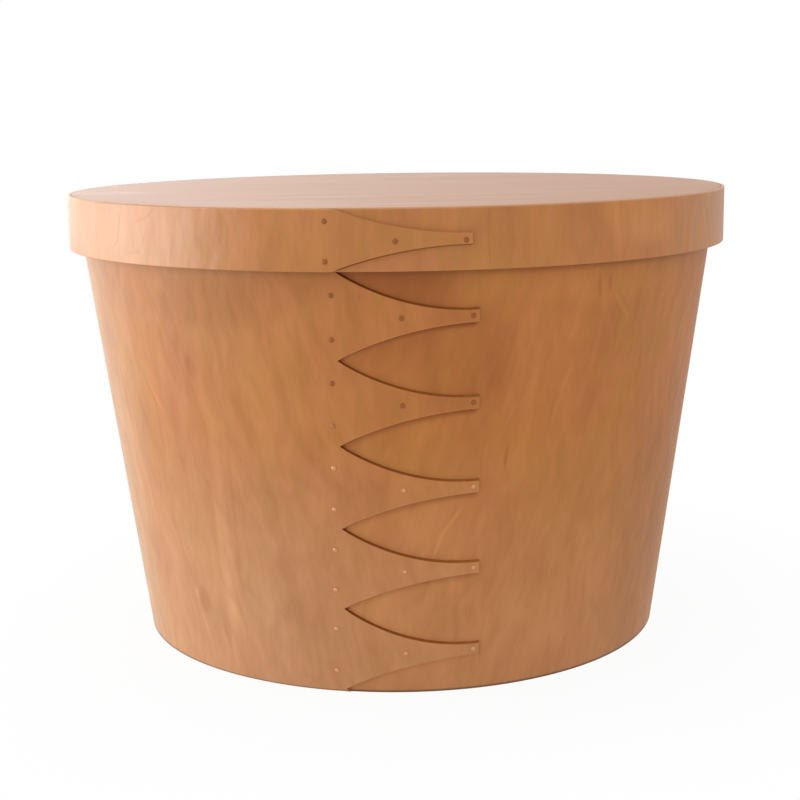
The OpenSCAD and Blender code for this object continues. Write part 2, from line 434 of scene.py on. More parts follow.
def tack_profile(grip):
    """Half outline of a tack as radius and height, for layers that are grip thick together."""
    bulge = HEAD_H - HEAD_RIM
    dome_r = (HEAD_R ** 2 + bulge ** 2) / (2 * bulge)
    half = math.asin(HEAD_R / dome_r)
    profile = []
    for k in range(DOME_STEPS + 1):
        angle = half * k / DOME_STEPS
        profile.append((dome_r * math.sin(angle), HEAD_H - dome_r + dome_r * math.cos(angle)))
    profile += [(HEAD_UNDER_R, HEAD_CLEAR), (SHANK_R, HEAD_CLEAR), (SHANK_R, CLINCH_SINK - grip)]
    profile += [(CLINCH_R, CLINCH_SINK - grip), (CLINCH_R, -grip), (CLINCH_END_R, -grip - CLINCH_H)]
    return profile + [(0, -grip - CLINCH_H)]


def tack_mesh(name, places, grip):
    """Tacks at places given as (point on the outer face, direction out of the wood)."""
    bm = bmesh.new()
    edge_of = bm.verts.layers.float.new("edge")
    for at, out in places:
        verts = [bm.verts.new((r, 0, h)) for r, h in tack_profile(grip)]
        for v in verts:
            v[edge_of] = (v.co.x / HEAD_R) ** 2 if v.co.z > HEAD_RIM else 1
        edges = [bm.edges.new(pair) for pair in zip(verts, verts[1:])]
        bmesh.ops.spin(
            bm, geom=verts + edges, cent=(0, 0, 0), axis=(0, 0, 1), angle=TURN, steps=TACK_SIDES,
            use_merge=True,
        )
        new = [v for v in bm.verts if not v.tag]
        bmesh.ops.remove_doubles(bm, verts=new, dist=MERGE)
        new = [v for v in bm.verts if not v.tag]
        turn = out.to_track_quat("Z", "Y").to_matrix().to_4x4()
        bmesh.ops.transform(bm, matrix=Matrix.Translation(at) @ turn, verts=new)
        for v in new:
            v.tag = True
    bmesh.ops.recalc_face_normals(bm, faces=bm.faces[:])
    return finished_mesh(name, bm)


def on_wall(x, w):
    """Place on the wall's fingers, from their flat pattern, and the direction out of it."""
    z = w * math.cos(LEAN) + x * x * math.cos(LEAN) * math.sin(LEAN) / (2 * (FOOT_R + w * math.sin(LEAN)))
    r = FOOT_R + SLOPE * z
    az = math.asin(x / r)
    out = Vector((math.sin(az) * math.cos(LEAN), -math.cos(az) * math.cos(LEAN), -math.sin(LEAN)))
    return Vector((math.sin(az) * (r + WALL_T), -math.cos(az) * (r + WALL_T), z)), out


def on_lid(x, z):
    az = math.asin(x / LID_R)
    out = Vector((math.sin(az), -math.cos(az), 0))
    return out * (LID_R + LID_T) + Vector((0, 0, z)), out


def show(name, mesh, body, nodes, materials):
    """Makes a finished piece of a mesh, which rides on a body and stands for its solids."""
    piece = bpy.data.objects.new(name, mesh)
    bpy.context.scene.collection.objects.link(piece)
    for material in materials:
        mesh.materials.append(material)
    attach(piece, body)
    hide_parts(*nodes)
    return piece


def even_faces(piece):
    """Keeps the broad faces flat in shading beside their softened edges."""
    weighted = piece.modifiers.new("even_faces", "WEIGHTED_NORMAL")
    weighted.keep_sharp = True


# Nodes: colour sockets of a mix, and the setting for a soft start and end
MIX_A, MIX_B, MIX_OUT = 6, 7, 2
SMOOTH = {"interpolation_type": "SMOOTHSTEP"}


def linear(code):
    """Linear colour of an sRGB hex value."""
    parts = [int(code[k:k + 2], 16) / 255 for k in (1, 3, 5)]
    return [p / 12.92 if p <= 0.04045 else ((p + 0.055) / 1.055) ** 2.4 for p in parts] + [1]


def add(tree, kind, links, **settings):
    """Adds a node. A link's value is a socket, a node for its first socket, or a constant to set."""
    node = tree.nodes.new("ShaderNode" + kind)
    for name, value in settings.items():
        setattr(node, name, value)
    for socket, value in links.items():
        if isinstance(value, bpy.types.Node):
            value = value.outputs[0]
        if isinstance(value, bpy.types.NodeSocket):
            tree.links.new(value, node.inputs[socket])
        else:
            node.inputs[socket].default_value = value
    return node


def new_material(name):
    material = bpy.data.materials.new(name)
    material.use_nodes = True
    material.node_tree.nodes.clear()
    return material, material.node_tree


# Figure of sliced wood: width across the grain and length along it in mm, distortion. The fibres are drawn
# coarser than real ones, so that they show
GRAIN = {
    "tone": (50, 80, 0.3),
    "patch": (20, 48, 0.6),
    "mottle": (9, 24, 0.7),
    "streak": (5, 34, 0.4),
    "fibre": (1.6, 14, 0),
    "curl": (16, 40, 0.9),
    "where": (60, 90, 0),
    "fleck": (2, 10, 0),
    "wave": (19, 40, 0.4),
    "ripple": (7, 15, 0.6),
}
# How much each part of the figure lightens and darkens the wood
TONES = {"tone": 0.13, "patch": 0.2, "mottle": 0.19, "streak": 0.07, "fibre": 0.035}
# How much more the figure shows in green and in blue, so that lighter wood is also paler
FIGURE_TINT = (1.0, 1.4, 1.9)
# The whole figure sways this far, in waves of this size
WAVER = 3 * MM
WAVER_SIZE = 35 * MM
NOISE_MIDDLE = (0.5, 0.5, 0.5)
# Curl: light contour lines of a slow noise, their number, width and tone, and the levels where they show
CURL_LINES = 5.0
CURL_WIDTH = 0.16
CURL_TONE = 0.03
CURL_WHERE = (0.52, 0.72)
# Short dark flecks, at the highest levels of their noise
FLECK_WHERE = (0.8, 0.87)
FLECK_TONE = -0.13
# Share of a mark's half size that has its full tone
MARK_CORE = 0.35
# Noise levels between which the wood turns rosy
ROSY_WHERE = (0.75, 1.25)
# Relief of ripples and fibres as shares of the waves, and how far the roughness varies
RIPPLE_RELIEF = 0.2
FIBRE_RELIEF = 0.025
ROUGH_SPREAD = 0.05
WOOD_IOR = 1.5
# Sawn boards have a longer figure than the strips
BOARD_STRETCH = 2.5

# Colours of painted light with some wear, painted sheen, painted shade, soot with painted shade, dirt with
# painted shadow
PALE_LIGHT_AND_WEAR = "#d6a277"
SHEEN_PALE = "#b99779"
SHADE_BROWN = "#8a4004"
SOOT_AND_SHADE = "#5a2608"
SHADOW_AND_DIRT = "#5c4a38"

# Painted sheen that pales the wall, as from, to and the share at each: by turn in degrees, and the last by
# height in mm
SHEEN_SIDE = (160, 290, 0, 1)
SHEEN_LAP = (350, 372, 1, 0.3)
SHEEN_FAR = (297, 325, 0.95, 0.08)
SHEEN_LOW = (40, 190, 0.28, 0.03)
# Painted floor light pales the wall from this height down; at the floor it has dirt and painted shadow
PALE_HEIGHT = 150 * MM
PALE_SHARE = 0.36
SHADOW_AND_DIRT_HEIGHT = 2 * MM
SHADOW_AND_DIRT_SHARE = 0.8
# Dark line of painted shade on the wall at the lid's edge: share, reach up and down, and where from left to
# right it grows
LID_LINE = 0.6
LID_LINE_REACH = 5 * MM
LID_LINE_FROM = -150 * MM
LID_LINE_TO = 80 * MM
# A painted highlight lies along the rim's top edge, between these depths under the top
LIT_EDGE_FROM = 1.2 * MM
LIT_EDGE_FULL = 0.3 * MM
LIT_EDGE_SHARE = 0.55

# Lap: the layer under the fingers ends before one turn, and the fingers lie after the other
UNDER_END = 45 * DEGREE
OVER_START = 340 * DEGREE
# Shading starts and stops over these lengths at roots and tips, and above these shares of the lowest pitch
ROOT_RUN = 5 * MM
TIP_RUN = 3 * MM
LOWEST = (0.45, 0.55)
# Soot and painted shade in the points of the gaps
SOOT_AND_SHADE_START = 0.3 * MM
SOOT_AND_SHADE_SHARE = 0.5
# Painted shadow under a gap's upper edge: its reach, and how it grows from root to tip
SHADOW_REACH = 4.5 * MM
SHADOW_GROWTH = (0.4, 1.25)
# Painted shade from the lid in the upper gaps stops over this length at the tips
COVER_RUN = 30 * MM
# Darker patch on the upper right of the lap: place, half size, and share with full tone
DARK_PATCH_AT = (32 * MM, 190 * MM, 0)
DARK_PATCH_SIZE = (36 * MM, 46 * MM, 1)
DARK_PATCH_CORE = 0.3
# Painted highlight with some wear along the lower edges of the fingers, as depth into the gap below
WORN_AND_LIT_BAND = (-1.2 * MM, -0.4 * MM)
WORN_AND_LIT_END = 0.1 * MM


def strip_grain(tree):
    return add(tree, "UVMap", {}, uv_map="grain")


def board_grain(tree):
    """Grain of a flat board, which runs from side to side."""
    own = add(tree, "TexCoord", {}).outputs["Object"]
    return add(tree, "Mapping", {"Vector": own, "Rotation": (0, 0, math.pi / 2),
                                 "Scale": (1 / BOARD_STRETCH, 1, 1)})


def swayed(tree, place):
    """A place in the figure, moved a little so that the grain isn't straight."""
    sway = add(tree, "TexNoise", {"Vector": place, "Scale": 1 / WAVER_SIZE, "Detail": 1.0},
               noise_dimensions="2D").outputs["Color"]
    sway = add(tree, "VectorMath", {0: sway, 1: NOISE_MIDDLE}, operation="SUBTRACT")
    sway = add(tree, "VectorMath", {0: sway, "Scale": WAVER}, operation="SCALE")
    return add(tree, "VectorMath", {0: place, 1: sway}, operation="ADD")


def figure_noises(tree, place):
    """The noises of which the figure is made, by name."""
    figure = {}
    for part, (across, along, distortion) in GRAIN.items():
        scale = (1 / (across * MM), 1 / (along * MM), 1)
        sized = add(tree, "Mapping", {"Vector": place, "Scale": scale})
        links = {"Vector": sized, "Scale": 1.0, "Detail": 1.0, "Distortion": distortion}
        figure[part] = add(tree, "TexNoise", links, noise_dimensions="2D")
    return figure


def curl_lines(tree, figure):
    """Share of the light lines of the curl."""
    ring = add(tree, "Math", {0: figure["curl"], 1: CURL_LINES}, operation="MULTIPLY")
    ring = add(tree, "Math", {0: ring, 1: 0.5}, operation="PINGPONG")
    line = add(tree, "MapRange", {"Value": ring, "From Max": CURL_WIDTH, "To Min": 1, "To Max": 0}, **SMOOTH)
    where = add(tree, "MapRange", {"Value": figure["where"], "From Min": CURL_WHERE[0],
                                   "From Max": CURL_WHERE[1]}, **SMOOTH)
    return add(tree, "Math", {0: line, 1: where}, operation="MULTIPLY")


def wood_level(tree, place, figure, spread, marks):
    """Lightness of the figure and its marks over the plain wood; a few marks are painted light and shade.
    spread is how strong the figure is.
    """
    fleck = add(tree, "MapRange", {"Value": figure["fleck"], "From Min": FLECK_WHERE[0],
                                   "From Max": FLECK_WHERE[1]}, **SMOOTH)
    shares = [(figure[part], tone) for part, tone in TONES.items()]
    shares += [(curl_lines(tree, figure), CURL_TONE), (fleck, FLECK_TONE)]
    level = 1 - spread * sum(TONES.values()) / 2
    for share, tone in shares:
        level = add(tree, "Math", {0: share, 1: spread * tone, 2: level}, operation="MULTIPLY_ADD")
    for middle, turn, width, length, tone in marks:
        own = add(
            tree, "Mapping",
            {"Vector": place, "Location": middle, "Rotation": (0, 0, turn),
             "Scale": (width / (1 + MARK_CORE), length / (1 + MARK_CORE), 1)},
            vector_type="TEXTURE",
        )
        away = add(tree, "VectorMath", {0: own}, operation="LENGTH").outputs["Value"]
        spot = add(tree, "MapRange", {"Value": away, "From Min": MARK_CORE, "To Min": tone, "To Max": 0.0},
                   **SMOOTH)
        level = add(tree, "Math", {0: level, 1: spot}, operation="ADD")
    return level


def gap_depths(tree, lap, x, w):
    """Depth under the upper and over the lower edge of a gap, with every row laid over the lowest."""
    row = add(tree, "Math", {0: w, 1: lap["low"] + lap["pitch"] / 2, 2: lap["low"] - lap["pitch"] / 2},
              operation="WRAP")
    spot = add(tree, "CombineXYZ", {0: x, 1: row})
    run = lap["root_x"] + lap["tip_x"]
    depths = []
    for climb in (lap["rise"], -lap["drop"]):
        r = (run * run + climb * climb) / (2 * abs(climb))
        centre = (lap["tip_x"], lap["low"] + climb - math.copysign(r, climb), 0)
        away = add(tree, "VectorMath", {0: spot, 1: centre}, operation="DISTANCE").outputs["Value"]
        depths.append(add(tree, "Math", {0: r, 1: away}, operation="SUBTRACT"))
    return depths


def lap_shade(tree, lap):
    """Shares of painted shade with a darker patch, of soot with painted shade, and of painted highlight with
    wear on the lap, from the flat pattern of its fingers.
    """
    flat = add(tree, "UVMap", {}, uv_map="lap")
    place = add(tree, "SeparateXYZ", {0: flat})
    x, w = place.outputs["X"], place.outputs["Y"]
    under_top, over_bottom = gap_depths(tree, lap, x, w)
    nearest = add(tree, "Math", {0: under_top, 1: over_bottom}, operation="MINIMUM")
    furthest = add(tree, "Math", {0: under_top, 1: over_bottom}, operation="MAXIMUM")
    dark_patch = add(tree, "Mapping", {"Vector": flat, "Location": DARK_PATCH_AT, "Scale": DARK_PATCH_SIZE},
                vector_type="TEXTURE")
    away = add(tree, "VectorMath", {0: dark_patch}, operation="LENGTH").outputs["Value"]
    root, tip, low, pitch = -lap["root_x"], lap["tip_x"], lap["low"], lap["pitch"]
    shares = {}
    for key, value, start, end, at_start, at_end, blend in (
        ("to_tip", x, tip - TIP_RUN, tip, 1, 0, "LINEAR"),
        ("from_root", x, root, root + ROOT_RUN, 0, 1, "LINEAR"),
        ("high", w, lap["fade_from"], lap["fade_to"], lap["fade"], 1, "LINEAR"),
        ("above_foot", w, low + LOWEST[0] * pitch, low + LOWEST[1] * pitch, 0, 1, "LINEAR"),
        ("growth", x, root, tip, *SHADOW_GROWTH, "LINEAR"),
        ("to_end", x, tip - COVER_RUN, tip, 1, 0, "SMOOTHSTEP"),
        ("soot_and_shade", furthest, SOOT_AND_SHADE_START, lap["soot_and_shade"], SOOT_AND_SHADE_SHARE, 0, "SMOOTHSTEP"),
        ("shadow", under_top, 0, SHADOW_REACH, lap["shadow"], 0, "SMOOTHSTEP"),
        ("cover", w, lap["cover_from"], lap["cover_to"], 0, lap["cover"], "SMOOTHSTEP"),
        ("dark_patch", away, DARK_PATCH_CORE, 1, lap["dark_patch"], 0, "SMOOTHSTEP"),
        ("worn_and_lit", under_top, *WORN_AND_LIT_BAND, 0, lap["worn_and_lit"], "SMOOTHSTEP"),
    ):
        links = {"Value": value, "From Min": start, "From Max": end, "To Min": at_start, "To Max": at_end}
        shares[key] = add(tree, "MapRange", links, interpolation_type=blend)
    turn = add(tree, "Attribute", {}, attribute_name="turn").outputs["Fac"]
    for key, value, limit, side in (
        ("under", turn, UNDER_END, "LESS_THAN"),
        ("over", turn, OVER_START, "GREATER_THAN"),
        ("inside", nearest, 0, "GREATER_THAN"),
        ("at_edge", under_top, WORN_AND_LIT_END, "LESS_THAN"),
    ):
        shares[key] = add(tree, "Math", {0: value, 1: limit}, operation=side)
    shares["lap"] = add(tree, "Math", {0: shares["under"], 1: shares["over"]}, operation="MAXIMUM")

    for key, limits in (
        ("soot_and_shade", ("to_tip", "above_foot", "inside", "under")),
        ("shadow", ("high", "to_tip", "growth", "above_foot", "inside", "under")),
        ("cover", ("to_end", "inside", "under")),
        ("dark_patch", ("lap",)),
        ("worn_and_lit", ("at_edge", "high", "to_tip", "from_root", "above_foot", "over")),
    ):
        for limit in limits:
            shares[key] = add(tree, "Math", {0: shares[key], 1: shares[limit]}, operation="MULTIPLY")
    shade = shares["shadow"]
    for key in ("cover", "dark_patch"):
        shade = add(tree, "Math", {0: shade, 1: shares[key]}, operation="MAXIMUM")
    return shade, shares["soot_and_shade"], shares["worn_and_lit"]


def pale_foot(tree, place):
    """Share of painted light from the floor by which the wall is paler towards the foot."""
    return add(tree, "MapRange", {"Value": place.outputs["Z"], "From Max": PALE_HEIGHT,
                                  "To Min": PALE_SHARE, "To Max": 0})


def foot_shadow_and_dirt(tree, place):
    """Share of dirt and painted contact shadow along the edge that stands on the floor."""
    return add(tree, "MapRange", {"Value": place.outputs["Z"], "From Min": SHADOW_AND_DIRT_HEIGHT / 3,
                                  "From Max": SHADOW_AND_DIRT_HEIGHT, "To Min": SHADOW_AND_DIRT_SHARE, "To Max": 0}, **SMOOTH)


def lit_top_edge(tree, place):
    """Share of the painted highlight along the rim's top edge."""
    return add(tree, "MapRange", {"Value": place.outputs["Z"], "From Min": TOP - LIT_EDGE_FROM,
                                  "From Max": TOP - LIT_EDGE_FULL, "To Max": LIT_EDGE_SHARE})


def side_sheen(tree, place):
    """Share of painted sheen, from the light on the left, that pales the wall left of the lap and at the
    foot.
    """
    turn = add(tree, "Attribute", {}, attribute_name="turn").outputs["Fac"]
    shares = []
    for value, unit, (start, end, at_start, at_end), blend in (
        (turn, DEGREE, SHEEN_SIDE, "SMOOTHSTEP"),
        (turn, DEGREE, SHEEN_LAP, "LINEAR"),
        (turn, DEGREE, SHEEN_FAR, "LINEAR"),
        (place.outputs["Z"], MM, SHEEN_LOW, "SMOOTHSTEP"),
    ):
        links = {"Value": value, "From Min": start * unit, "From Max": end * unit}
        links.update({"To Min": at_start, "To Max": at_end})
        shares.append(add(tree, "MapRange", links, interpolation_type=blend))
    side, lapped, far, low = shares
    share = add(tree, "Math", {0: far, 1: low}, operation="MAXIMUM")
    for limit in (side, lapped):
        share = add(tree, "Math", {0: share, 1: limit}, operation="MULTIPLY")
    return share


def lid_line(tree, place):
    """Share of the painted shade line at the lid's edge, fainter on the side that faces the window."""
    off = add(tree, "Math", {0: place.outputs["Z"], 1: LID_LOW}, operation="SUBTRACT")
    off = add(tree, "Math", {0: off}, operation="ABSOLUTE")
    line = add(tree, "MapRange", {"Value": off, "From Max": LID_LINE_REACH, "To Min": LID_LINE,
                                  "To Max": 0.0}, **SMOOTH)
    side = add(tree, "MapRange", {"Value": place.outputs["X"], "From Min": LID_LINE_FROM,
                                  "From Max": LID_LINE_TO})
    return add(tree, "Math", {0: line, 1: side}, operation="MULTIPLY")


def wood(name, grain, hues, rough, shine, relief, spread=1.0, marks=(), lap=None, under_figure=(), over_figure=()):
    """A wood finish. hues are its plain and its rosy tone, relief the height of its waves.

    spread is the strength of its figure. Shares with hues go under and over it: painted light, sheen and
    shade, dirt and wear.
    """
    material, tree = new_material(name)
    own = add(tree, "TexCoord", {}).outputs["Object"]
    place = add(tree, "SeparateXYZ", {"Vector": own})
    in_grain = swayed(tree, grain(tree))
    figure = figure_noises(tree, in_grain)
    blush = add(tree, "Math", {0: figure["where"], 1: figure["streak"]}, operation="ADD")
    rosy = add(tree, "MapRange", {"Value": blush, "From Min": ROSY_WHERE[0], "From Max": ROSY_WHERE[1]},
               **SMOOTH)
    colour = linear(hues[0])
    layers = [(rosy, hues[1])] + [(share(tree, place), hue) for share, hue in under_figure]
    for share, hue in layers:
        colour = add(tree, "Mix", {0: share, MIX_A: colour, MIX_B: linear(hue)},
                     data_type="RGBA").outputs[MIX_OUT]
    level = wood_level(tree, in_grain, figure, spread, marks)
    tint = add(tree, "VectorMath", {0: level, 1: FIGURE_TINT, 2: [1 - part for part in FIGURE_TINT]},
               operation="MULTIPLY_ADD")
    colour = add(tree, "VectorMath", {0: colour, 1: tint}, operation="MULTIPLY")
    layers = list(zip(lap_shade(tree, lap), (SHADE_BROWN, SOOT_AND_SHADE, PALE_LIGHT_AND_WEAR))) if lap else []
    layers += [(share(tree, place), hue) for share, hue in over_figure]
    for share, hue in layers:
        colour = add(tree, "Mix", {0: share, MIX_A: colour, MIX_B: linear(hue)},
                     data_type="RGBA").outputs[MIX_OUT]

    height = figure["wave"]
    for part, share in (("ripple", RIPPLE_RELIEF), ("fibre", FIBRE_RELIEF)):
        height = add(tree, "Math", {0: figure[part], 1: share, 2: height}, operation="MULTIPLY_ADD")
    bump = add(tree, "Bump", {"Height": height, "Strength": 1.0, "Distance": relief})
    roughness = add(tree, "MapRange", {"Value": figure["patch"], "To Min": rough - ROUGH_SPREAD,
                                       "To Max": rough + ROUGH_SPREAD})
    shader = add(tree, "BsdfPrincipled", {
        "Base Color": colour, "Roughness": roughness, "IOR": WOOD_IOR, "Specular IOR Level": shine,
        "Normal": bump,
    })
    add(tree, "OutputMaterial", {"Surface": shader})
    return material


# Cut edges: bare, toasted and scorched wood, and the size and strength of their speckle
CUT_BARE = "#bb804a"
CUT_TOASTED = "#94561f"
CUT_SCORCHED = "#76390f"
SPECKLE_SIZE = 2.5 * MM
SPECKLE = 0.3


def toasted_edge():
    """Wood cut with a slow blade. It gives dull edges, scorched red-brown where the blade was slowest."""
    material, tree = new_material("scorched_cut_edge")
    toast = add(tree, "Attribute", {}, attribute_name="toast").outputs["Fac"]
    own = add(tree, "TexCoord", {}).outputs["Object"]
    speckle = add(tree, "TexNoise", {"Vector": own, "Scale": 1 / SPECKLE_SIZE, "Detail": 2.0})
    share = add(tree, "Math", {0: speckle, 1: SPECKLE, 2: -SPECKLE / 2}, operation="MULTIPLY_ADD")
    share = add(tree, "Math", {0: share, 1: toast}, operation="ADD")
    ramp = add(tree, "ValToRGB", {"Fac": share})
    ramp.color_ramp.elements[0].color = linear(CUT_BARE)
    ramp.color_ramp.elements[1].color = linear(CUT_SCORCHED)
    middle = ramp.color_ramp.elements.new(0.5)
    middle.color = linear(CUT_TOASTED)
    shader = add(tree, "BsdfPrincipled", {
        "Base Color": ramp, "Roughness": 0.75, "IOR": WOOD_IOR, "Specular IOR Level": 0.2,
    })
    add(tree, "OutputMaterial", {"Surface": shader})
    return material


# Copper: bare, browner towards the lid as painted reflection, where it looks less like metal, and grime with
# painted shade
COPPER_BARE = "#d4986e"
COPPER_BROWN = "#935520"
COPPER_GRIME_AND_SHADE = "#74401c"
BROWN_FROM = 135 * MM
BROWN_FULL = 165 * MM
BROWN_MOTTLE = 0.7
METAL_BARE, METAL_BROWN = 0.7, 0.1
# Grime and painted shade towards the edge of a head, by the square of its radius
GRIME_AND_SHADE_WHERE = (0.55, 0.95)
GRIME_AND_SHADE_SHARE = 0.45
# Dents of a worn head
DENT_SIZE = 1 * MM
DENT_DEPTH = 0.15 * MM
DENT_STRENGTH = 0.7


def aged_copper():
    """Aged copper. It gives dull, dented heads, browner near the lid to paint their darker reflections, bare
    and pink lower down.
    """
    material, tree = new_material("aged_copper")
    own = add(tree, "TexCoord", {}).outputs["Object"]
    mottle = add(tree, "TexNoise", {"Vector": own, "Scale": 1 / DENT_SIZE, "Detail": 2.0})
    height = add(tree, "SeparateXYZ", {"Vector": own}).outputs["Z"]
    brown = add(tree, "MapRange", {"Value": height, "From Min": BROWN_FROM, "From Max": BROWN_FULL})
    share = add(tree, "Math", {0: mottle, 1: BROWN_MOTTLE, 2: -BROWN_MOTTLE / 2}, operation="MULTIPLY_ADD")
    share = add(tree, "Math", {0: share, 1: brown}, operation="ADD", use_clamp=True)
    edge = add(tree, "Attribute", {}, attribute_name="edge").outputs["Fac"]
    grime_and_shade = add(tree, "MapRange", {"Value": edge, "From Min": GRIME_AND_SHADE_WHERE[0], "From Max": GRIME_AND_SHADE_WHERE[1],
                                   "To Max": GRIME_AND_SHADE_SHARE}, **SMOOTH)
    colour = linear(COPPER_BARE)
    for part, hue in ((share, COPPER_BROWN), (grime_and_shade, COPPER_GRIME_AND_SHADE)):
        colour = add(tree, "Mix", {0: part, MIX_A: colour, MIX_B: linear(hue)},
                     data_type="RGBA").outputs[MIX_OUT]
    bump = add(tree, "Bump", {"Height": mottle, "Strength": DENT_STRENGTH, "Distance": DENT_DEPTH})
    metal = add(tree, "MapRange", {"Value": share, "To Min": METAL_BARE, "To Max": METAL_BROWN})
    shader = add(tree, "BsdfPrincipled", {
        "Base Color": colour, "Metallic": metal, "Roughness": 0.5, "Specular IOR Level": 0.3, "Normal": bump,
    })
    add(tree, "OutputMaterial", {"Surface": shader})
    return material


# Marks in the figure, a few of them painted light and shade: from and to, as angle from the front and height
# in mm, width in mm, lightness
WALL_MARKS = [
    ((-44.6, 214), (-38.8, 176), 3.4, 0.08),
    ((-43.2, 206), (-38, 172), 3, -0.07),
    ((-37.5, 189), (-37, 177), 7, -0.09),
    ((-51.4, 176), (-47.6, 156), 2.4, -0.1),
    ((-50, 170), (-46, 154), 3.2, 0.07),
    ((-36.4, 166), (-33.2, 143), 7, 0.05),
    ((-43.2, 51), (-41.5, 35), 9, -0.14),
    ((-45, 51), (-44.4, 42), 2, 0.16),
    ((-44, 36), (-42.4, 22), 2.4, 0.12),
    ((-36, 28), (-35.4, 6), 3, 0.08),
    ((-34.8, 140), (-34.8, 20), 9, 0.13),
    ((-31.4, 132), (-32, 30), 3, -0.05),
    ((-66, 165), (-62, 75), 44, 0.05),
    # Broad darker band under the lid on the left: partly painted shade from the lid, partly darker wood
    ((-46, 216), (-14, 223), 24, -0.09),
    ((-43, 204), (-38, 168), 24, -0.05),
    # Painted light that lifts the shade under the lid on the upper right
    ((18, 232), (52, 226), 24, 0.09),
    ((33.9, 231), (34.6, 218), 2.4, -0.16),
    ((36.2, 230), (36.8, 221), 2.4, -0.13),
    ((38, 220), (41.4, 206), 2.6, 0.1),
    ((18.8, 141), (18.3, 130), 2.2, -0.14),
    ((17.2, 207), (16.2, 168), 14, -0.09),
    ((20.4, 214), (17.4, 160), 6, 0.05),
    ((45.9, 192), (46.9, 172), 2.6, -0.08),
    ((51.9, 163), (53.3, 137), 3, -0.06),
    # Painted shade down the right side of the wall, away from the light
    ((58, 165), (58, -25), 76, -0.11),
    ((5.4, 80), (7.8, 97), 1.8, 0.12),
    ((7.6, 95), (10.6, 108), 1.8, 0.12),
    ((14.9, 28), (15, 15), 1.2, -0.09),
]
RIM_MARKS = [
    ((-47.3, 268), (-48.3, 257), 1.4, -0.14),
    ((-48.1, 259), (-48.8, 248), 1.4, -0.14),
    ((-48.6, 250), (-50.2, 245), 1.4, -0.12),
    ((-46.4, 268), (-47.6, 245), 5, 0.06),
    ((-39.4, 269), (-41.2, 263), 1.4, -0.12),
    ((-41, 263.6), (-43.8, 261), 1.4, -0.1),
    ((-41.2, 257), (-43.4, 245), 1.8, -0.08),
    ((-46.4, 243.5), (-42.8, 246), 1.8, -0.09),
    ((-31, 256), (-30.4, 248), 5, -0.08),
    ((33, 264), (47, 256), 22, 0.12),
    ((13.4, 274), (13.4, 236), 1.4, -0.07),
]


def flat_marks(strip, marks):
    """Marks in the strip before it was bent: middle, turn, width, length, lightness."""
    for (start_az, start_z), (end_az, end_z), width, tone in marks:
        ends = []
        for az, z in ((start_az, start_z), (end_az, end_z)):
            turn = math.radians(az) + LAP_AZ + (TURN if az < 0 else 0)
            ends.append(Vector(strip.flat(turn, z * MM)))
        run = ends[1] - ends[0]
        middle = (ends[0] + ends[1]) / 2
        yield (*middle, 0), -math.atan2(run.x, run.y), width * MM, run.length, tone


# Strips
wall = Strip(FOOT_R, SLOPE, 0, RIM_Z, WALL_T, ROOT_X, FOOT_LIFT)
rim = Strip(LID_R, 0, LID_LOW, TOP, LID_T, LID_ROOT_X, 0)

# Laps: shape of the gaps, reach of soot with painted shade, shares of painted shadow, painted shade from the
# lid (cover), painted highlight with wear and the darker patch, what is left of shadow and highlight low
# down (fade), and the heights between which fade and cover change
WALL_LAP = {
    "low": ROOT_LOW, "pitch": PITCH, "root_x": ROOT_X, "tip_x": TIP_X,
    "rise": tip_w(1) - TIP_W / 2 - root_w(1), "drop": root_w(2) - tip_w(1) - TIP_W / 2,
    "soot_and_shade": 2.5 * MM, "shadow": 0.8, "fade": 0.3, "fade_from": ROOT_TOP * 0.35, "fade_to": ROOT_TOP * 0.8,
    "cover": 0.55, "cover_from": ROOT_TOP - 90 * MM, "cover_to": ROOT_TOP, "worn_and_lit": 0.18, "dark_patch": 0.24,
}
RIM_LAP = {
    "low": LID_LOW, "pitch": TOP - LID_LOW, "root_x": LID_ROOT_X, "tip_x": LID_TIP_X,
    "rise": LID_RISE, "drop": LID_RISE,
    "soot_and_shade": 0.4 * MM, "shadow": 0.5, "fade": 1, "fade_from": LID_LOW, "fade_to": TOP,
    "cover": 0, "cover_from": LID_LOW, "cover_to": TOP, "worn_and_lit": 0.25, "dark_patch": 0,
}

# Wall: sliced wood, bent, thinly varnished and old. It gives a warm brown with soft upright streaks and a
# dull sheen over slight waves, with painted sheen to the left, painted light at the foot and dirt with
# painted shadow along it, and painted shade on the lap and under the lid
wall_wood = wood(
    "varnished_bent_wood", strip_grain, ("#b47332", "#b77037"), rough=0.55, shine=0.31, relief=0.9 * MM,
    marks=list(flat_marks(wall, WALL_MARKS)), lap=WALL_LAP,
    under_figure=((pale_foot, PALE_LIGHT_AND_WEAR), (side_sheen, SHEEN_PALE)), over_figure=((foot_shadow_and_dirt, SHADOW_AND_DIRT), (lid_line, SHADE_BROWN)),
)
# Lid rim: the same wood with more varnish. It gives soft highlights, a painted highlight along its top edge,
# and painted shade and highlights on its lap
rim_wood = wood(
    "varnished_rim_wood", strip_grain, ("#b47535", "#b7723b"), rough=0.42, shine=0.42, relief=0.7 * MM,
    spread=0.95, marks=list(flat_marks(rim, RIM_MARKS)), lap=RIM_LAP, over_figure=((lit_top_edge, PALE_LIGHT_AND_WEAR),),
)
# Insides of the strips: the same wood left bare. It gives a paler, dry brown with hardly any sheen
inner_wood = wood(
    "bare_bent_wood", strip_grain, ("#c08c5c", "#bd845a"), rough=0.62, shine=0.25, relief=0.3 * MM,
)
# Lid board: sawn and varnished. It gives a calm, long figure and a smooth sheen
lid_top_wood = wood(
    "varnished_lid_board", board_grain, ("#b27846", "#b2744a"), rough=0.4, shine=0.42, relief=0.3 * MM,
    spread=0.7,
)
